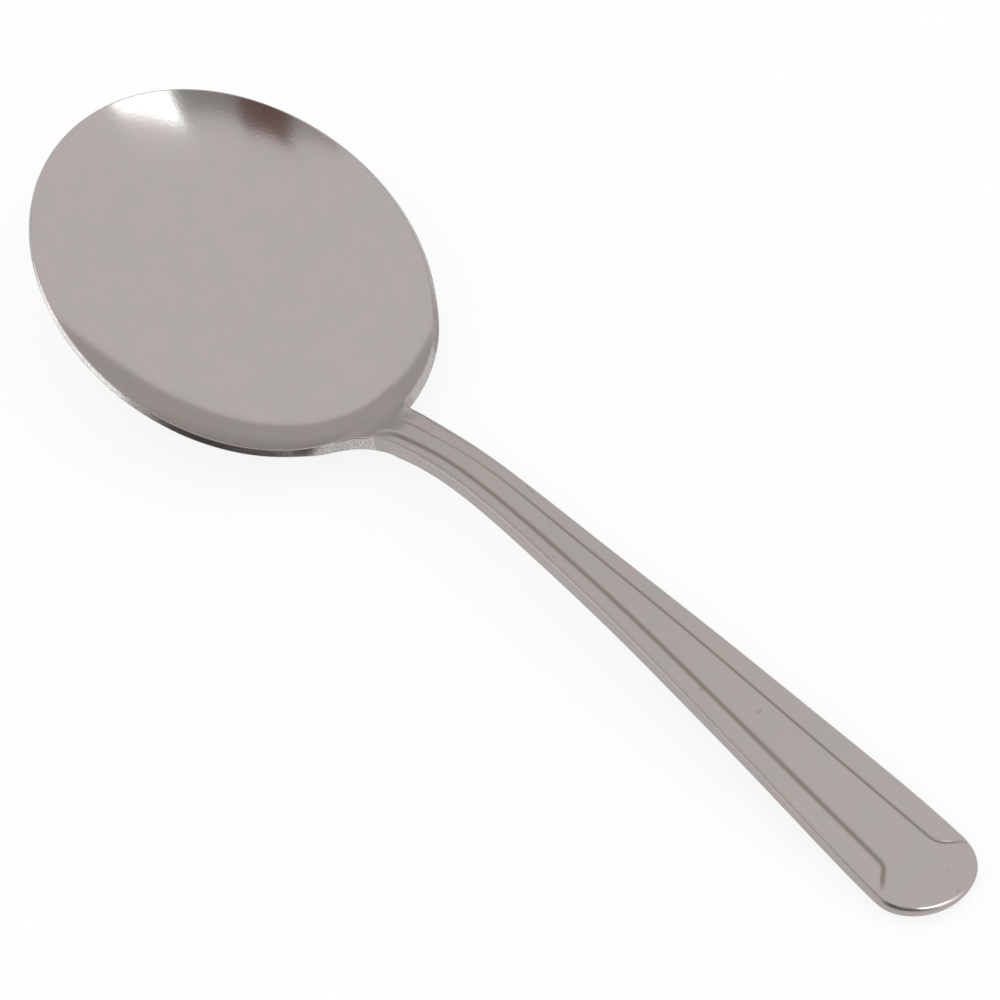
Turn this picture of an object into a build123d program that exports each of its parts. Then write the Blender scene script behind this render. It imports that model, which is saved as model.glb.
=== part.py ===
from build123d import *
import math
import os

# Soup spoon pressed from one stainless blank. Millimetres. The handle points along +X and +Z is up.
# The spoon is drawn with the bowl's rim level at z = 0, and is then laid down on a table.

# Bowl, measured inside: its length and width at the rim, its depth below the rim
bowl_length = 60.0
bowl_width = 50.0
bowl_depth = 8.5
bowl_half_depth = 6.95
bowl_rim_slope = 40.0
bowl_deepest_shift = 4.7
bowl_wall = 1.2

# Handle seen from the side: each run is measured from the bowl's rim, each rise from the rim's level
handle_length = 101.8
neck_run = 14.0
neck_rise = 8.0
arch_run = 40.0
arch_rise = 14.2
tip_rise = 20.4
flat_end_length = 26.0
flat_end_slope = 4.3
neck_thickness = 2.7
arch_thickness = 2.95
tip_thickness = 2.1

# Root of the handle, tapered into the bowl's wall
root_slope = 40.0
root_overlap = 4.0
root_sink = 0.2
root_thickness = 0.9
rim_thickness = 1.7
root_flare = 4.2
web_inset = 0.1
web_thickness = 1.4
web_root_thickness = 0.4

# Handle seen from above
neck_width = 6.0
middle_run = 58.0
middle_width = 10.0
tip_width = 14.4
tip_round = 6.1
edge_round = 0.45

# Two pressed lines that border the handle and turn out to its edges near the tip
line_width = 0.45
line_depth = 0.2
line_start_run = 3.0
line_spacing_neck = 2.4
line_spacing_middle = 4.5
line_spacing_tip = 7.1
line_turn_run = 92.9
line_turn_stagger = 1.0
line_turn_radius = 1.2
line_turn_angle = 45.0

# Where the handle leaves the bowl's neck
neck_joint_run = 8.0

# Places looked at along the bowl's underside to find where it touches the table
underside_steps = 400

os.makedirs("parts", exist_ok=True)


def moved_in(point, way, drop):
    """A point of an upper line, moved into the steel."""
    return point - way.rotate(Axis.Z, 90) * drop


# Dish of the bowl: a round dish stretched to an oval, and slanted so that it is deepest nearer to
# the handle
rim_radius = bowl_width / 2
stretch = bowl_length / bowl_width
slant = bowl_deepest_shift / bowl_depth
floor_way = Vector(1, 0)
rim_way = floor_way.rotate(Axis.Z, bowl_rim_slope)
floor_point = Vector(0, -bowl_depth)
half_point = Vector(rim_radius / 2, -bowl_half_depth)
edge_point = Vector(rim_radius, 0)
edge_outside = moved_in(edge_point, rim_way, bowl_wall)

with BuildPart() as round_dish:
    with BuildSketch(Plane.XZ):
        with BuildLine():
            inside = Spline(floor_point, half_point, edge_point, tangents=(floor_way, rim_way))
            outside = Spline(
                moved_in(floor_point, floor_way, bowl_wall),
                moved_in(half_point, inside.tangent_at(half_point), bowl_wall),
                edge_outside,
                tangents=(floor_way, rim_way),
            )
            Line(inside @ 0, outside @ 0)
            Line(inside @ 1, outside @ 1)
        make_face()
    revolve(axis=Axis.Z)

with BuildPart() as dish:
    oval = Matrix([[stretch, 0, -slant, slant * edge_outside.Y / 2], [0, 1, 0, 0], [0, 0, 1, 0]])
    add(round_dish.part.transform_geometry(oval))

# Side view of the handle: it leaves the bowl along its wall and ends in a straight flat pad
rim_x = bowl_length / 2
tip_x = rim_x + handle_length
wall_way = floor_way.rotate(Axis.Z, root_slope)
flat_way = floor_way.rotate(Axis.Z, flat_end_slope)
rim_point = Vector(rim_x, -root_sink)
root_point = rim_point - wall_way * root_overlap
neck_point = Vector(rim_x + neck_run, neck_rise)
arch_point = Vector(rim_x + arch_run, arch_rise)
tip_point = Vector(tip_x, tip_rise)
flat_point = tip_point - flat_way * flat_end_length

with BuildLine():
    upper_line = Spline(
        root_point, rim_point, neck_point, arch_point, flat_point, tangents=(wall_way, flat_way)
    )
neck_way = upper_line.tangent_at(neck_point)
arch_way = upper_line.tangent_at(arch_point)


def side_line(root_drop, rim_drop, neck_drop, arch_drop, tip_drop):
    """The handle's upper line from root to tip, moved into the steel by a drop at each place."""
    root_end = moved_in(root_point, wall_way, root_drop)
    flat_edge = moved_in(flat_point, flat_way, tip_drop)
    tip_end = moved_in(tip_point, flat_way, tip_drop)
    Spline(
        root_end,
        moved_in(rim_point, wall_way, rim_drop),
        moved_in(neck_point, neck_way, neck_drop),
        moved_in(arch_point, arch_way, arch_drop),
        flat_edge,
        tangents=(wall_way, flat_way),
    )
    Line(flat_edge, tip_end)
    return root_end, tip_end


def side_band(upper_drops, lower_drops):
    """A strip along the handle between two side lines, wider than the handle."""
    with BuildPart() as band:
        with BuildSketch(Plane.XZ.offset(-tip_width)):
            with BuildLine():
                upper_ends = side_line(*upper_drops)
                lower_ends = side_line(*lower_drops)
                Line(upper_ends[0], lower_ends[0])
                Line(upper_ends[1], lower_ends[1])
            make_face()
        extrude(amount=2 * tip_width)
    return band.part


# Whole handle: the side view cut to the outline seen from above, with softened edges
plan_plane = Plane.XY.offset(-tip_rise)
plan_reach = 3 * tip_rise
round_x = tip_x - tip_round
thicknesses = (root_thickness, rim_thickness, neck_thickness, arch_thickness, tip_thickness)
with BuildPart() as stem:
    add(side_band((0,) * 5, thicknesses))
    with BuildSketch(plan_plane):
        with BuildLine():
            Line((root_point.X, 0), (root_point.X, neck_width / 2))
            Line((root_point.X, neck_width / 2), (neck_point.X, neck_width / 2))
            Spline(
                (neck_point.X, neck_width / 2),
                (rim_x + middle_run, middle_width / 2),
                (round_x, tip_width / 2),
                tangents=((1, 0), (1, 0)),
            )
            EllipticalCenterArc((round_x, 0), tip_round, tip_width / 2, arc_size=90)
            mirror(about=Plane.XZ)
        make_face()
    extrude(amount=plan_reach, mode=Mode.INTERSECT)
    across = stem.edges().filter_by(Axis.Y)
    upright = stem.edges().filter_by(Axis.Z)
    fillet(stem.edges() - across - upright, radius=edge_round)

# Thin web that widens the root where it runs into the bowl's rim
flare_reach = math.sqrt(edge_outside.X**2 - (neck_width / 2 + root_flare) ** 2)
flare_x = stretch * flare_reach - slant * edge_outside.Y / 2
with BuildPart() as web:
    add(side_band((web_inset,) * 5, (web_root_thickness,) + (web_thickness,) * 4))
    with BuildSketch(plan_plane):
        with BuildLine():
            flare = JernArc((flare_x + root_flare, neck_width / 2), (-1, 0), root_flare, -90)
            Polyline(flare @ 1, (root_point.X, (flare @ 1).Y), (root_point.X, 0))
            Line(flare @ 0, ((flare @ 0).X, 0))
            mirror(about=Plane.XZ)
        make_face()
    extrude(amount=plan_reach, mode=Mode.INTERSECT)

# Pressed lines: each follows its edge and turns out to it near the tip
with BuildPart() as pressed_lines:
    with BuildSketch(plan_plane):
        for side in (1, -1):
            turn_x = rim_x + line_turn_run + side * line_turn_stagger
            with BuildLine():
                along = Spline(
                    (rim_x + line_start_run, side * line_spacing_neck / 2),
                    (neck_point.X, side * line_spacing_neck / 2),
                    (rim_x + middle_run, side * line_spacing_middle / 2),
                    (turn_x, side * line_spacing_tip / 2),
                )
                turn = JernArc(along @ 1, along % 1, line_turn_radius, side * line_turn_angle)
                Line(turn @ 1, turn @ 1 + (turn % 1) * tip_width)
            trace(line_width=line_width)
    extrude(amount=plan_reach)
    add(side_band((-line_depth,) * 5, (line_depth,) * 5), mode=Mode.INTERSECT)

# The two parts of the spoon, still with the rim level
joint_plane = Plane.YZ.offset(rim_x + neck_joint_run)
with BuildPart() as level_handle:
    add(stem.part)
    add(pressed_lines.part, mode=Mode.SUBTRACT)
    split(bisect_by=joint_plane, keep=Keep.TOP)

with BuildPart() as level_bowl:
    add(stem.part)
    add(pressed_lines.part, mode=Mode.SUBTRACT)
    split(bisect_by=joint_plane, keep=Keep.BOTTOM)
    add(web.part)
    add(dish.part)

# At rest: the line that touches the bowl's underside and the tip's lower edge lies on the table
tip_low = moved_in(tip_point, flat_way, tip_thickness)
lean = 0.0
for step in range(underside_steps + 1):
    low = outside @ (step / underside_steps)
    run = tip_low.X - (stretch * low.X + slant * (edge_outside.Y / 2 - low.Y))
    lean = max(lean, math.degrees(math.atan2(tip_low.Y - low.Y, run)))

with BuildPart() as leaning:
    with Locations(Location((0, 0, 0), (0, lean, 0))):
        add(level_bowl.part)
        add(level_handle.part)
reach = leaning.part.bounding_box()
at_rest = Location((-reach.center().X, 0, -reach.min.Z), (0, lean, 0))

with BuildPart() as bowl:
    with Locations(at_rest):
        add(level_bowl.part)
bowl.part.label = "bowl"
export_step(bowl.part, "parts/bowl.step")

with BuildPart() as handle:
    with Locations(at_rest):
        add(level_handle.part)
handle.part.label = "handle"
export_step(handle.part, "parts/handle.step")
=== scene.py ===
import math

import bmesh
import bpy
import numpy as np
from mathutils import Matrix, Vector
from mathutils.geometry import delaunay_2d_cdt


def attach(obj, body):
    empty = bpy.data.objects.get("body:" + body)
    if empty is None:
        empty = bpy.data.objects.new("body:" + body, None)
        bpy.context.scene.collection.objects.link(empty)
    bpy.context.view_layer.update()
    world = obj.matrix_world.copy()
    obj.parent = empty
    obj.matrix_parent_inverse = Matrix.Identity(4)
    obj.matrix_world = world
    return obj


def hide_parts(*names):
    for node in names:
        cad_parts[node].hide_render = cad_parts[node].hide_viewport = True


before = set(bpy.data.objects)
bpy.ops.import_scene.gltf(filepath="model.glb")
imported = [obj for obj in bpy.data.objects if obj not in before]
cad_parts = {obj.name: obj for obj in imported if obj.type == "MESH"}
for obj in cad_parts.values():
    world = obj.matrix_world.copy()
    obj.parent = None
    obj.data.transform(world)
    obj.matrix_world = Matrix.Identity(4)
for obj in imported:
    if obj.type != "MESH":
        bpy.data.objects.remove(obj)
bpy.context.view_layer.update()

# The spoon is drawn in millimetres with the bowl's rim level at z = 0 and the handle along +X.
# It is then laid down on the table, on the bowl's underside and the tip's lower edge.
MM = 0.001
LEAN = math.radians(13.251)
REST_PLACE = (-51.4, 0.0, 12.429)

# Bowl, measured inside: half length and half width at the rim, depth below the rim
BOWL_LONG = 30.25
BOWL_WIDE = 25.1
BOWL_DEPTH = 8.5
BOWL_HALF_DEPTH = 6.95
RIM_SLOPE = math.radians(40.0)
DEEPEST_SHIFT = 4.7
WALL = 1.1
RIM_WALL = 0.8

# Handle from the side: where it leaves the bowl, points of its upper line, and its thickness
NECK_START = 27.0
UPPER_LINE = ((30.0, 0.0), (32.0, 1.58), (34.0, 3.02), (36.0, 4.3), (40.0, 6.55), (44.0, 8.4),
              (50.0, 10.35), (60.0, 12.5), (76.0, 15.2), (92.0, 17.1), (107.0, 18.5), (131.8, 20.4))
UPPER_END = math.tan(math.radians(4.3))
THICKNESS = ((28.0, 2.3), (33.0, 3.0), (38.0, 2.85), (44.0, 2.8), (70.0, 2.95), (104.0, 2.3),
             (131.8, 2.1))
CROWN = 0.3

# Where, along the spoon, one form passes into another: the hollow runs out, the crown, the handle's
# back and the upright side face begin, the soft edges widen, and the handle turns a little aside
HOLLOW_END = 35.0
CROWN_FROM = (33.0, 44.0)
BACK_FROM = (26.0, 37.0)
UPRIGHT_FROM = (30.0, 39.0)
SOFT_FROM = (29.0, 40.0)
ASIDE_FROM = (32.0, 44.0)

# Handle from above: half width from the neck to the round tip, and how far its root flares out into
# the rim on the right (+1) and on the left (-1), at the upper and at the lower edge; how far the rim
# swells out next to the neck, and where its ground land ends
HALF_WIDTH = ((34.0, 3.25), (46.0, 3.25), (60.0, 3.6), (76.0, 4.35), (88.0, 5.15), (100.0, 5.95),
              (112.0, 6.8), (125.7, 7.4))
HANDLE_SHIFT = 0.15
TIP_LONG = 6.05
TIP_SKEW = 0.14
SKEW_FROM = (118.0, 131.8)
UPPER_FLARE = {1: 1.4, -1: 5.0}
LOWER_FLARE = {1: 1.4, -1: 5.6}
NECK_SWELL = {1: 0.017, -1: 0.0}
SWELL_FROM = (20.0, 28.5)
LAND_END = {1: 30.0, -1: 32.0}

# How far the edges are rounded: at the bowl's rim and along the handle
RIM_SOFT = (0.12, 0.15)
HANDLE_SOFT = (1.0, 0.7)

# Two pressed lines, +1 on the right and -1 on the left: distance from the middle along the handle,
# the turn out to the edge near the tip, how wide, deep and faint they are, and how far from the
# middle they stay
LINE_PATH = {
    1: ((31.5, 0.95), (38.0, 0.92), (46.0, 1.16), (60.0, 1.36), (76.0, 1.8), (88.0, 2.25),
        (100.0, 2.7), (112.0, 3.22), (124.0, 3.85)),
    -1: ((31.0, 3.15), (32.4, 2.15), (35.0, 1.62), (38.0, 1.42), (46.0, 1.28), (60.0, 1.4), (76.0, 1.8),
         (88.0, 2.25), (100.0, 2.7), (112.0, 3.1), (124.0, 3.5)),
}
LINE_START = {1: 0.0, -1: -0.85}
LINE_TURN = {1: 123.6, -1: 121.8}
LINE_TURN_RADIUS = {1: 3.0, -1: 1.5}
LINE_TURN_ANGLE = math.radians(50.0)
LINE_END = 6.0
LINE_WITHIN = 9.0
LINE_HALF_WIDTH = {1: 0.38, -1: 0.66}
LINE_DEPTH = 0.1
LINE_FADE_IN = 4.0
LINE_AT_NECK = {1: 0.55, -1: 1.0}
LINE_DEEPENS = (38.0, 62.0)
LINE_FADE_OUT = (4.9, 6.7)
LINE_LEFT_AT_EDGE = {1: 0.6, -1: 0.0}

# Share of dullness and painted shade: along the handle rougher steel, darkest just past the neck as painted
# shade that carries the bowl's dark reflected band onto it; in the pressed lines dull steel; on the side
# faces painted shade, darkest on the lower edge, standing in for shaded surroundings they mirror; and the
# upward lean at which a face counts as a side, a lower edge or the underside
# Along the handle: rougher steel, darkest just past the neck as painted shade carrying on the bowl's dark
# reflected band
HANDLE_DULL_AND_SHADE = ((31.0, 0.0), (36.0, 0.19), (52.0, 0.15), (80.0, 0.13), (112.0, 0.06))
LINE_DULL = 0.72
# Painted shade on the side faces, darkest on the lower edge
SIDE_PAINTED_SHADE = 0.53
SIDE_LEAN = (0.96, 0.7)
LOWER_EDGE_LEAN = (0.0, -0.35)
UNDERSIDE_LEAN = (-0.45, -0.6)

# Fineness of the mesh: steps along the edges, over a rounded edge and on a card, then the net's two
# parts (step, first and last place, half width) and how far it keeps from lines and edges
BOWL_EDGE_STEPS = 130
FLARE_STEPS = 22
BLADE_EDGE_STEPS = 320
TIP_STEPS = 40
ROUND_STEPS = 6
CARD_STEPS = (13, 9)
LINE_STEP = 0.3
NET_PARTS = ((0.9, -30.5, 31.0, 25.0), (0.7, 31.0, 132.5, 8.0))
LINE_CLEAR = 0.62
EDGE_CLEAR = 0.3
FAR = 99.0


def smooth_curve(points, start=0.0, end=0.0):
    """A smooth curve y(x) through a few points, with its slopes at both ends."""
    x, y = np.array(points, float).T
    h = np.diff(x)
    n = len(x)
    a = np.zeros((n, n))
    b = np.zeros(n)
    a[0, :2] = 2 * h[0], h[0]
    b[0] = 6 * ((y[1] - y[0]) / h[0] - start)
    a[-1, -2:] = h[-1], 2 * h[-1]
    b[-1] = 6 * (end - (y[-1] - y[-2]) / h[-1])
    for i in range(1, n - 1):
        a[i, i - 1:i + 2] = h[i - 1], 2 * (h[i - 1] + h[i]), h[i]
        b[i] = 6 * ((y[i + 1] - y[i]) / h[i] - (y[i] - y[i - 1]) / h[i - 1])
    m = np.linalg.solve(a, b)

    def curve(at):
        at = np.asarray(at, float)
        i = np.clip(np.searchsorted(x, at) - 1, 0, n - 2)
        u = np.clip(at, x[0], x[-1]) - x[i]
        w = h[i] - u
        bent = (m[i] * w**3 + m[i + 1] * u**3) / (6 * h[i])
        value = bent + (y[i] / h[i] - m[i] * h[i] / 6) * w + (y[i + 1] / h[i] - m[i + 1] * h[i] / 6) * u
        return value + np.minimum(at - x[0], 0) * start + np.maximum(at - x[-1], 0) * end

    return curve


def ease(at, first, last):
    """Goes softly from 0 at the first value to 1 at the last."""
    t = np.clip((at - first) / (last - first), 0, 1)
    return t * t * (3 - 2 * t)


STRETCH = BOWL_LONG / BOWL_WIDE
SLANT = DEEPEST_SHIFT / BOWL_DEPTH
LAND_OUT = RIM_WALL * math.sin(RIM_SLOPE)
LAND_DOWN = RIM_WALL * math.cos(RIM_SLOPE)
LAND_SHIFT = SLANT * LAND_DOWN / 2
inside_line = smooth_curve(
    ((0, -BOWL_DEPTH), (BOWL_WIDE / 2, -BOWL_HALF_DEPTH), (BOWL_WIDE, 0)), 0, math.tan(RIM_SLOPE))
HALF_SLOPE = math.atan((inside_line(BOWL_WIDE / 2 + 0.01) - inside_line(BOWL_WIDE / 2 - 0.01)) / 0.02)
outside_line = smooth_curve(
    ((0, -BOWL_DEPTH - WALL),
     (BOWL_WIDE / 2 + WALL * math.sin(HALF_SLOPE), -BOWL_HALF_DEPTH - WALL * math.cos(HALF_SLOPE)),
     (BOWL_WIDE + LAND_OUT, -LAND_DOWN)), 0, math.tan(RIM_SLOPE))
thickness = smooth_curve(THICKNESS)
half_width = smooth_curve(HALF_WIDTH)


def dish_height(x, y, line):
    """Height of the slanted oval dish: its line from floor to rim, deepest nearer to the handle."""
    z = np.zeros(np.shape(x))
    for _ in range(24):
        z = line(np.hypot((x + SLANT * z + LAND_SHIFT) / STRETCH, y))
    return z


# The handle's upper line carries on from the middle of the bowl's inside
NECK_HEIGHT, NECK_NEXT = dish_height(np.array([NECK_START, NECK_START + 0.01]), 0.0, inside_line)
NECK_SLOPE = (NECK_NEXT - NECK_HEIGHT) / 0.01
upper_line = smooth_curve(((NECK_START, NECK_HEIGHT),) + UPPER_LINE, NECK_SLOPE, UPPER_END)


def outline(side, outset, shift, reach):
    """Half of the blank's outline from the bowl's front to the tip, on one side of the long axis."""
    long, wide = BOWL_LONG + outset * STRETCH, BOWL_WIDE + outset
    neck = HALF_WIDTH[0][1]
    turn = math.asin((neck + reach) / wide)
    swing = np.linspace(math.pi, turn, BOWL_EDGE_STEPS)
    bowl = np.stack([shift + long * np.cos(swing), wide * np.sin(swing)], 1)
    bowl *= 1 + NECK_SWELL[side] * ease(bowl[:, :1], *SWELL_FROM)
    first = bowl[-1]
    corner = np.array([first[0] + reach * (long / wide) * math.tan(turn), neck])
    last = corner + (reach, 0)
    t = np.linspace(0, 1, FLARE_STEPS)[1:, None]
    flare = first * (1 - t)**2 + corner * 2 * t * (1 - t) + last * t**2
    tip_x, tip_wide = HALF_WIDTH[-1]
    run = np.linspace(last[0], tip_x, BLADE_EDGE_STEPS)[1:-1]
    blade = np.stack([run, half_width(run)], 1)
    swing = np.linspace(0, math.pi / 2, TIP_STEPS)
    tip = np.stack([tip_x + TIP_LONG * np.sin(swing), tip_wide * np.cos(swing)], 1)
    half = np.vstack([bowl, flare, blade, tip])
    half[:, 1] = side * half[:, 1] + HANDLE_SHIFT * ease(half[:, 0], *ASIDE_FROM)
    return half


def whole_outline(outset, shift, flare):
    """The blank's closed outline, with the tip's end cut a little askew."""
    left, right = outline(-1, outset, shift, flare[-1]), outline(1, outset, shift, flare[1])
    loop = np.vstack([left[:-1], right[:0:-1]])
    loop[:, 0] += TIP_SKEW * loop[:, 1] * ease(loop[:, 0], *SKEW_FROM)
    return loop


def pressed_line(side):
    """Middle of one pressed line: along the handle, then round to the edge."""
    run = np.arange(LINE_PATH[side][0][0], LINE_TURN[side], LINE_STEP)
    along = np.stack([run, smooth_curve(LINE_PATH[side], LINE_START[side], 0.05)(run)], 1)
    start = math.atan2(*(along[-1] - along[-2])[::-1])
    turn = np.linspace(start, start + LINE_TURN_ANGLE, 12)[1:]
    radius = LINE_TURN_RADIUS[side]
    centre = along[-1] + radius * np.array([-math.sin(start), math.cos(start)])
    bend = centre + radius * np.stack([np.sin(turn), -np.cos(turn)], 1)
    way = np.array([math.cos(turn[-1]), math.sin(turn[-1])])
    out = bend[-1] + way * np.arange(LINE_STEP, LINE_END, LINE_STEP)[:, None]
    path = np.vstack([along, bend, out])
    path[:, 1] *= side
    return path


PRESSED = {side: pressed_line(side) for side in (1, -1)}


def press(x, y):
    """How strongly the two lines are pressed into the steel at a place, from 0 to 1."""
    strength = np.zeros(np.shape(x))
    first = min(path[0, 0] for path in PRESSED.values())
    near = (x > first - 1) & (np.abs(y) < LINE_WITHIN)
    spots = np.stack([x[near], y[near]], 1)
    for side, path in PRESSED.items():
        away = np.full(len(spots), FAR)
        for a, b in zip(path[:-1], path[1:]):
            ab = b - a
            t = np.clip(((spots - a) @ ab) / (ab @ ab), 0, 1)
            away = np.minimum(away, np.hypot(*(spots - a - t[:, None] * ab).T))
        shape = 0.5 + 0.5 * np.cos(math.pi * np.clip(away / LINE_HALF_WIDTH[side], 0, 1))
        deep = LINE_AT_NECK[side] + (1 - LINE_AT_NECK[side]) * ease(spots[:, 0], *LINE_DEEPENS)
        fade_in = deep * ease(spots[:, 0], path[0, 0], path[0, 0] + LINE_FADE_IN)
        fade_out = 1 - (1 - LINE_LEFT_AT_EDGE[side]) * ease(np.abs(spots[:, 1]), *LINE_FADE_OUT)
        strength[near] = np.maximum(strength[near], shape * fade_in * fade_out)
    return strength


def upper_height(x, y):
    """Height of the upper side: the bowl's hollow, which runs out over the neck along the handle."""
    middle = dish_height(x, 0.0, inside_line)
    hollow = (dish_height(x, y, inside_line) - middle) * (1 - ease(x, NECK_START, HOLLOW_END))
    border = np.clip(np.abs(y) / half_width(np.maximum(x, HALF_WIDTH[0][0])), 0, 1)
    crown = CROWN * border**4 * ease(x, *CROWN_FROM)
    return np.where(x < NECK_START, middle, upper_line(x)) + hollow - crown - LINE_DEPTH * press(x, y)


def lower_height(x, y):
    """Height of the underside: the bowl's outside, then the handle's back."""
    dish = dish_height(x, y, outside_line)
    slope = (upper_line(x + 0.1) - upper_line(x - 0.1)) / 0.2
    back = upper_line(x) - thickness(x) * np.hypot(1, slope)
    return dish + (back - dish) * ease(x, *BACK_FROM)


def plan_normals(height, x, y, sign):
    """Directions that face straight out of a height over the plan."""
    step = 0.02
    dx = (height(x + step, y) - height(x - step, y)) / (2 * step)
    dy = (height(x, y + step) - height(x, y - step)) / (2 * step)
    n = np.stack([-dx, -dy, np.ones_like(dx)], 1) * sign
    return n / np.linalg.norm(n, axis=1, keepdims=True)


def inside_points(loop, lines):
    """Places inside a closed outline: an even net, with a finer one along the pressed lines."""
    net = []
    for step, first, last, wide in NET_PARTS:
        xs, ys = np.meshgrid(np.arange(first, last, step), np.arange(-wide, wide, step))
        xs = xs + step / 2 * (np.arange(len(ys)) % 2)[:, None]
        net.append(np.stack([xs.ravel(), ys.ravel()], 1))
    net = np.vstack(net)
    close = np.full(len(net), FAR)
    for path in lines.values():
        for p in path:
            close = np.minimum(close, np.hypot(*(net - p).T))
    fine = []
    for side, path in lines.items():
        way = np.gradient(path, axis=0)
        way /= np.linalg.norm(way, axis=1, keepdims=True)
        across = np.stack([-way[:, 1], way[:, 0]], 1)
        fine += [path + across * off for off in np.linspace(-1, 1, 9) * LINE_HALF_WIDTH[side]]
    net = np.vstack([net[close > LINE_CLEAR]] + fine)
    # Keep what lies well inside the outline
    crossings = np.zeros(len(net), int)
    edge = np.full(len(net), FAR)
    for p, q in zip(loop, np.roll(loop, -1, 0)):
        over = (p[1] > net[:, 1]) != (q[1] > net[:, 1])
        rise = q[1] - p[1] if q[1] != p[1] else 1.0
        crossings += over & (net[:, 0] < p[0] + (net[:, 1] - p[1]) / rise * (q[0] - p[0]))
        edge = np.minimum(edge, np.hypot(*(net - p).T))
    return net[(crossings % 2 == 1) & (edge > EDGE_CLEAR)]


def turned(vectors):
    """Vectors of the level spoon, leaning as the spoon does on the table."""
    c, s = math.cos(LEAN), math.sin(LEAN)
    return vectors @ np.array([[c, 0, s], [0, 1, 0], [-s, 0, c]]).T


def filled(loop, lines):
    """Places and triangles that fill an outline; the outline's own places come first."""
    places = np.vstack([loop, inside_points(loop, lines)])
    n = len(loop)
    edges = [(i, (i + 1) % n) for i in range(n)]
    made = delaunay_2d_cdt([Vector(p) for p in places], edges, [list(range(n))], 1, 1e-5)
    order = [old[0] for old in made[3]]
    faces = [tuple(order[i] for i in f) for f in made[2]]
    return places, faces


def rolled(first, corner, last, shares):
    """Rings that roll over an edge, from one loop round a corner loop to another."""
    return [first * (1 - t)**2 + corner * 2 * t * (1 - t) + last * t**2 for t in shares]


def dullness_and_painted_shade(along, up, lines):
    """How dull and shaded each place is: dull steel in the lines and along the handle, painted shade on the
    side faces (most on the lower edge) and just past the neck.
    """
    # Painted shade on the side faces, darkest on the lower edge, standing in for shaded surroundings they
    # mirror
    side = SIDE_PAINTED_SHADE * ease(up, *SIDE_LEAN) + (1 - SIDE_PAINTED_SHADE) * ease(up, *LOWER_EDGE_LEAN)
    # Along the handle: rougher steel, and painted shade just past the neck that carries on the bowl's dark
    # reflected band
    whole = np.interp(along, *np.transpose(HANDLE_DULL_AND_SHADE))
    return np.maximum.reduce([whole, side * (1 - ease(up, *UNDERSIDE_LEAN)), LINE_DULL * lines])


def spoon_skin():
    """The whole spoon as one continuous skin: upper side, rim land and side faces, underside."""
    inner = whole_outline(0.0, -LAND_SHIFT, UPPER_FLARE)
    outer = whole_outline(LAND_OUT, LAND_SHIFT, LOWER_FLARE)
    n = len(inner)
    # On the handle the side face stands upright, so there the lower edge lies under the upper one
    upright = ease(inner[:, 0], *UPRIGHT_FROM)[:, None]
    outer = outer + (inner - outer) * upright
    way = np.roll(inner, -1, 0) - np.roll(inner, 1, 0)
    out = np.stack([way[:, 1], -way[:, 0]], 1) / np.linalg.norm(way, axis=1, keepdims=True)
    on_handle = ease(inner[:, 0], *SOFT_FROM)[:, None]
    soft_top = RIM_SOFT[0] + (HANDLE_SOFT[0] - RIM_SOFT[0]) * on_handle
    soft_low = RIM_SOFT[1] + (HANDLE_SOFT[1] - RIM_SOFT[1]) * on_handle

    top_places, top_faces = filled(inner - out * soft_top, PRESSED)
    low_places, low_faces = filled(outer - out * soft_low, {})
    top = np.column_stack([top_places, upper_height(*top_places.T)])
    low = np.column_stack([low_places, lower_height(*low_places.T)])
    top_corner = np.column_stack([inner, upper_height(*inner.T)])
    low_corner = np.column_stack([outer, lower_height(*outer.T)])
    side = low_corner - top_corner
    side /= np.linalg.norm(side, axis=1, keepdims=True)

    # Rings from the upper side's edge down to the underside's edge
    shares = np.linspace(0, 1, ROUND_STEPS + 1)
    rings = np.array(rolled(top[:n], top_corner, top_corner + side * soft_top, shares)
                     + rolled(low_corner - side * soft_low, low_corner, low[:n], shares))
    along = np.roll(rings, -1, 1) - np.roll(rings, 1, 1)
    ring_normals = np.cross(np.gradient(rings, axis=0), along)
    ring_normals /= np.linalg.norm(ring_normals, axis=2, keepdims=True)

    points = np.vstack([top] + list(rings[1:-1]) + [low])
    normals = np.vstack([plan_normals(upper_height, *top_places.T, 1)] + list(ring_normals[1:-1])
                        + [plan_normals(lower_height, *low_places.T, -1)])
    starts = [0] + [len(top) + n * k for k in range(len(rings) - 1)]
    faces = list(top_faces)
    marks = [0] * len(faces)
    on_bowl = inner[:, 0] < np.where(inner[:, 1] > 0, LAND_END[1], LAND_END[-1])
    for k in range(len(rings) - 1):
        is_land = ROUND_STEPS // 2 <= k <= ROUND_STEPS + 2
        for i in range(n):
            j = (i + 1) % n
            a, b = starts[k], starts[k + 1]
            faces.append((a + i, b + i, b + j, a + j))
            marks.append(1 if is_land and on_bowl[i] else 0)
    faces += [tuple(starts[-1] + i for i in reversed(f)) for f in low_faces]
    marks += [0] * len(low_faces)

    mesh = bpy.data.meshes.new("spoon")
    mesh.from_pydata(((turned(points) + REST_PLACE) * MM).tolist(), [], faces)
    mesh.polygons.foreach_set("material_index", marks)
    mesh.polygons.foreach_set("use_smooth", [True] * len(faces))
    mesh.normals_split_custom_set_from_vertices(turned(normals).tolist())
    lines = np.zeros(len(points))
    lines[:starts[-1]] = press(*points[:starts[-1], :2].T)
    up = normals[:, 2].copy()
    up[:len(top)] = 1.0
    # Mask of dull steel in the lines and along the handle, and of painted shade on the side faces, lower edge
    # and neck
    dull_and_shade_mask = mesh.attributes.new("dullness_and_painted_shade", "FLOAT", "POINT")
    dull_and_shade_mask.data.foreach_set("value", dullness_and_painted_shade(points[:, 0], up, lines))
    spoon = bpy.data.objects.new("spoon", mesh)
    bpy.context.scene.collection.objects.link(spoon)
    return spoon


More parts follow.
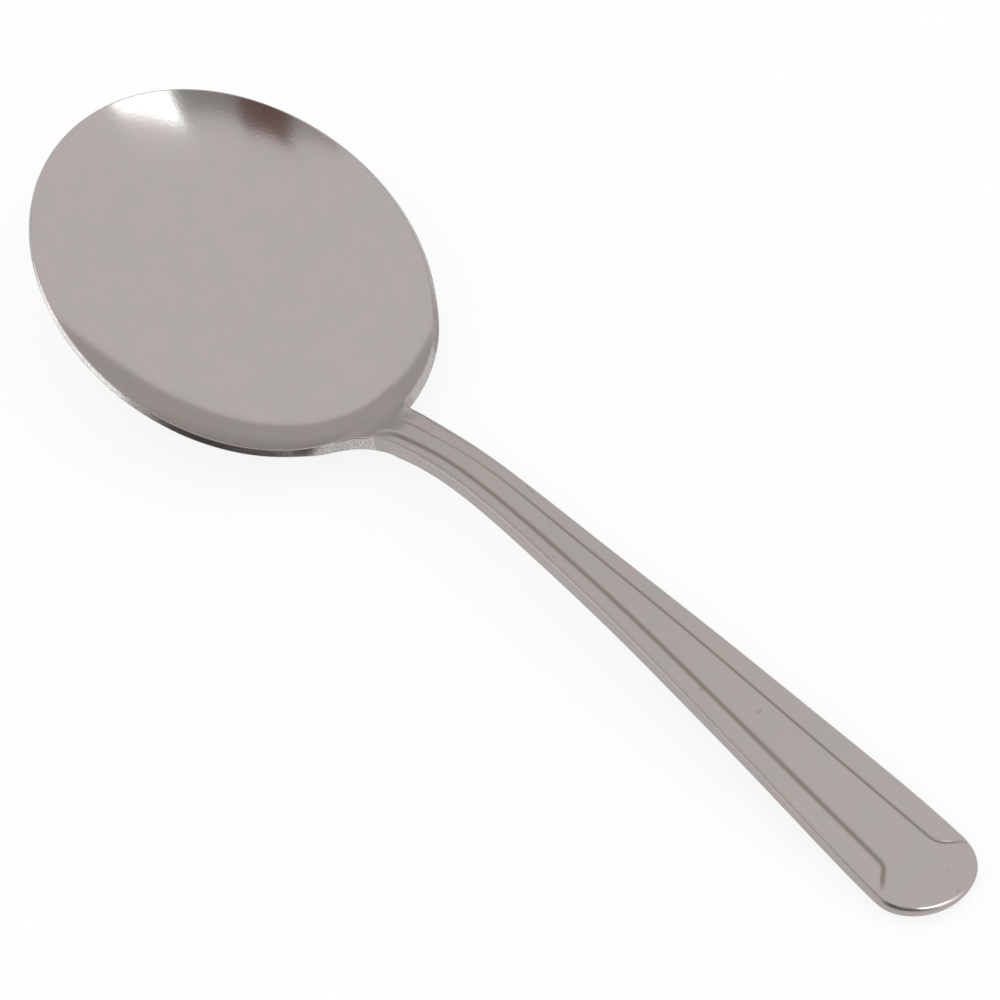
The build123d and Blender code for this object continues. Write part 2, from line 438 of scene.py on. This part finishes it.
def linear(hex_colour):
    """An sRGB hex colour as linear RGBA."""
    parts = [int(hex_colour[i:i + 2], 16) / 255 for i in (1, 3, 5)]
    return [c / 12.92 if c <= 0.04045 else ((c + 0.055) / 1.055) ** 2.4 for c in parts] + [1.0]


def add_node(tree, kind, settings=None, links=None):
    """Adds a node, sets its fields and sockets, and links sockets of other nodes into it."""
    node = tree.nodes.new(kind)
    for name, value in (settings or {}).items():
        if isinstance(name, str) and hasattr(node, name):
            setattr(node, name, value)
        else:
            node.inputs[name].default_value = value
    for name, socket in (links or {}).items():
        tree.links.new(socket, node.inputs[name])
    return node


def new_material(name):
    """A material with an empty node tree."""
    material = bpy.data.materials.new(name)
    material.use_nodes = True
    material.node_tree.nodes.clear()
    return material, material.node_tree


def tumbled_stainless():
    """Stainless steel polished in a tumbler: a soft grey mirror with faint clouds, grain and darker specks.

    The stones don't reach into the pressed lines, so those stay darker; the side faces, most on their lower
    edge, and the handle just past the neck get painted shade in the same darker colour.
    """
    material, tree = new_material("tumbled_stainless")
    place = add_node(tree, "ShaderNodeTexCoord").outputs["Object"]
    dull_and_shade_mask = add_node(tree, "ShaderNodeAttribute", {"attribute_name": "dullness_and_painted_shade"})
    # Clouds about 4 mm wide, a little pinker or greener, where the polish took more or less
    clouds = add_node(tree, "ShaderNodeTexNoise", {"Scale": 1 / (4 * MM), "Detail": 5.0, "Roughness": 0.7},
                      {"Vector": place})
    spread = add_node(tree, "ShaderNodeMapRange", {"From Min": 0.38, "From Max": 0.62},
                      {"Value": clouds.outputs["Fac"]})
    tint = add_node(tree, "ShaderNodeMix", {"data_type": "RGBA", 6: linear("#D3CCCB"), 7: linear("#CACDCA")},
                    {0: spread.outputs["Result"]})
    # A few darker specks about 0.6 mm wide on the less polished handle
    specks = add_node(tree, "ShaderNodeTexNoise", {"Scale": 1 / (1.7 * MM), "Detail": 2.0}, {"Vector": place})
    speck = add_node(tree, "ShaderNodeMapRange", {"From Min": 0.69, "From Max": 0.75, "To Max": 0.35},
                     {"Value": specks.outputs["Fac"]})
    handle = add_node(tree, "ShaderNodeMath", {"operation": "MULTIPLY", "use_clamp": True, 1: 10.0},
                      {0: dull_and_shade_mask.outputs["Fac"]})
    dull_speck = add_node(tree, "ShaderNodeMath", {"operation": "MULTIPLY"},
                          {0: speck.outputs["Result"], 1: handle.outputs["Value"]})
    dull_and_shade = add_node(tree, "ShaderNodeMath", {"operation": "MAXIMUM"},
                    {0: dull_and_shade_mask.outputs["Fac"], 1: dull_speck.outputs["Value"]})
    # Darker colour where the mask is set: dull steel in the lines and specks, painted shade on the side
    # faces, lower edge and neck
    colour = add_node(tree, "ShaderNodeMix", {"data_type": "RGBA", 7: linear("#80716C")},
                      {0: dull_and_shade.outputs["Value"], 6: tint.outputs[2]})
    rough = add_node(tree, "ShaderNodeMapRange", {"To Min": 0.135, "To Max": 0.6},
                     {"Value": dull_and_shade.outputs["Value"]})
    # Uneven grain from the stones, about 0.4 mm wide
    grain = add_node(tree, "ShaderNodeTexNoise", {"Scale": 1 / (0.4 * MM), "Detail": 1.0}, {"Vector": place})
    uneven = add_node(tree, "ShaderNodeBump", {"Strength": 1.0, "Distance": 0.003 * MM},
                      {"Height": grain.outputs["Fac"]})
    steel = add_node(tree, "ShaderNodeBsdfPrincipled", {"Metallic": 1.0},
                     {"Base Color": colour.outputs[2], "Roughness": rough.outputs["Result"],
                      "Normal": uneven.outputs["Normal"]})
    add_node(tree, "ShaderNodeOutputMaterial", links={"Surface": steel.outputs["BSDF"]})
    return material


def ground_rim():
    """Rim of the bowl, ground on a belt and only lightly tumbled: dark and bright grit marks."""
    material, tree = new_material("ground_stainless_rim")
    place = add_node(tree, "ShaderNodeTexCoord").outputs["Object"]
    # Belt grit leaves marks about 0.1 mm wide; they are drawn 0.2 mm wide to show
    grit = add_node(tree, "ShaderNodeTexNoise", {"Scale": 1 / (0.2 * MM), "Detail": 2.0}, {"Vector": place})
    colour = add_node(tree, "ShaderNodeValToRGB", links={"Fac": grit.outputs["Fac"]})
    colour.color_ramp.elements[0].position = 0.35
    colour.color_ramp.elements[0].color = linear("#9E9B99")
    colour.color_ramp.elements[1].position = 0.65
    colour.color_ramp.elements[1].color = linear("#C6C3C0")
    marks = add_node(tree, "ShaderNodeBump", {"Strength": 1.0, "Distance": 0.006 * MM},
                     {"Height": grit.outputs["Fac"]})
    steel = add_node(tree, "ShaderNodeBsdfPrincipled", {"Metallic": 1.0, "Roughness": 0.22},
                     {"Base Color": colour.outputs["Color"], "Normal": marks.outputs["Normal"]})
    add_node(tree, "ShaderNodeOutputMaterial", links={"Surface": steel.outputs["BSDF"]})
    return material


spoon = spoon_skin()
spoon.data.materials.append(tumbled_stainless())
spoon.data.materials.append(ground_rim())
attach(spoon, "root")
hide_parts("bowl", "handle")


def glow(name, colour, strength):
    """Material of a studio card: an even glow, as a lit sheet of paper or cloth gives."""
    material, tree = new_material(name)
    light = add_node(tree, "ShaderNodeEmission", {"Color": linear(colour), "Strength": strength})
    add_node(tree, "ShaderNodeOutputMaterial", links={"Surface": light.outputs["Emission"]})
    return material


BOWL_MIDDLE = Vector((REST_PLACE[0] * MM, 0, REST_PLACE[2] * MM))


def studio_card(name, azimuths, low, tops, colour, strength, slant=0.0, distance=1.2):
    """A curved card round the bowl, seen only as a reflection in the steel; its edges may slant."""
    bm = bmesh.new()
    columns = []
    for share in np.linspace(0, 1, CARD_STEPS[0]):
        foot = azimuths[0] + share * (azimuths[1] - azimuths[0])
        top = tops[0] + share * (tops[1] - tops[0])
        column = []
        for height in np.linspace(low, top, CARD_STEPS[1]):
            az = math.radians(foot + slant * (height - low))
            el = math.radians(height)
            flat = distance * math.cos(el)
            place = (flat * math.cos(az), flat * math.sin(az), distance * math.sin(el))
            column.append(bm.verts.new(Vector(place) + BOWL_MIDDLE))
        columns.append(column)
    for left, right in zip(columns[:-1], columns[1:]):
        for i in range(len(left) - 1):
            bm.faces.new((left[i], left[i + 1], right[i + 1], right[i]))
    mesh = bpy.data.meshes.new(name)
    bm.to_mesh(mesh)
    bm.free()
    card = bpy.data.objects.new(name, mesh)
    bpy.context.scene.collection.objects.link(card)
    mesh.materials.append(glow(name, colour, strength))
    card.visible_camera = False
    card.visible_diffuse = False
    card.visible_shadow = False
    card.visible_transmission = False


# Studio: a warm grey cloth tent, white cards right and left, boards behind the camera and a grey
# wall beyond the bowl
studio_card("tent", (-180, 180), -89.9, (89.9, 89.9), "#FFF7F4", 0.71, distance=1.5)
studio_card("white_box", (-15.5, 13.5), 32, (56.5, 47.5), "#FFFFFF", 3.0, slant=0.35)
studio_card("white_wall", (-5, 22), -1, (32, 32), "#FFFFFF", 1.6)
studio_card("white_strip", (-125, -92), 6, (13, 24), "#FFFFFF", 2.2)
studio_card("white_strip_low", (-150, -125), -1, (6, 13), "#FFFFFF", 2.3)
studio_card("grey_board", (-49.5, -15.5), 32, (55.5, 55.5), "#FFFBFA", 0.29, slant=0.35)
studio_card("brown_board", (-74.5, -49.5), 32, (55.5, 57.5), "#6B4F4D", 1.1, slant=0.35)
studio_card("end_board", (-93.5, -74.5), 32, (45, 53), "#FFF7F4", 0.40, slant=0.35)
studio_card("dark_board", (-78, -5), -1, (32, 32), "#FFFFFF", 0.06)
studio_card("far_wall", (132, 168), -1, (14, 17), "#FFF7F4", 0.38)
studio_card("far_wall_left", (103, 132), -1, (1, 14), "#FFF7F4", 0.38)
studio_card("far_wall_right", (168, 174), -1, (17, 6), "#FFF7F4", 0.38)


def table_paper():
    """White paper, which looks white by itself and also in the steel, and keeps a light shadow."""
    material, tree = new_material("white_table_paper")
    ray = add_node(tree, "ShaderNodeLightPath")
    mirrored = add_node(tree, "ShaderNodeMath", {"operation": "MAXIMUM"},
                        {0: ray.outputs["Is Glossy Ray"], 1: ray.outputs["Is Transmission Ray"]})
    seen = add_node(tree, "ShaderNodeMath", {"operation": "MAXIMUM"},
                    {0: ray.outputs["Is Camera Ray"], 1: mirrored.outputs["Value"]})
    share = add_node(tree, "ShaderNodeMath", {"operation": "MULTIPLY", 1: 0.8}, {0: seen.outputs["Value"]})
    matt = add_node(tree, "ShaderNodeBsdfDiffuse", {"Color": linear("#FDFDFD")})
    white = add_node(tree, "ShaderNodeEmission", {"Strength": 1.0})
    both = add_node(tree, "ShaderNodeMixShader", None,
                    {0: share.outputs["Value"], 1: matt.outputs["BSDF"], 2: white.outputs["Emission"]})
    add_node(tree, "ShaderNodeOutputMaterial", links={"Surface": both.outputs["Shader"]})
    return material


def table():
    """A plain white sheet of paper that runs far past the view."""
    bm = bmesh.new()
    bmesh.ops.create_grid(bm, x_segments=8, y_segments=8, size=3.0)
    mesh = bpy.data.meshes.new("table")
    bm.to_mesh(mesh)
    bm.free()
    sheet = bpy.data.objects.new("table", mesh)
    bpy.context.scene.collection.objects.link(sheet)
    mesh.materials.append(table_paper())


table()

world = bpy.data.worlds.new("white_room")
bpy.context.scene.world = world
world.use_nodes = True
world.node_tree.nodes["Background"].inputs["Color"].default_value = (1, 1, 1, 1)
world.node_tree.nodes["Background"].inputs["Strength"].default_value = 1.0

# Camera as in the photograph: about half a metre away, looking down from in front
CAMERA_PLACE = (222.783, -217.123, 436.984)
CAMERA_TURN = (35.948, 0.358, 45.193)
CAMERA_LENS = 144.0
camera = bpy.data.cameras.new("camera")
camera.sensor_width = 36.0
camera.lens = CAMERA_LENS
camera.clip_start = 0.01
camera_object = bpy.data.objects.new("camera", camera)
bpy.context.scene.collection.objects.link(camera_object)
camera_object.location = [v * MM for v in CAMERA_PLACE]
camera_object.rotation_euler = [math.radians(v) for v in CAMERA_TURN]
bpy.context.scene.camera = camera_object
bpy.context.scene.view_settings.view_transform = "Standard"
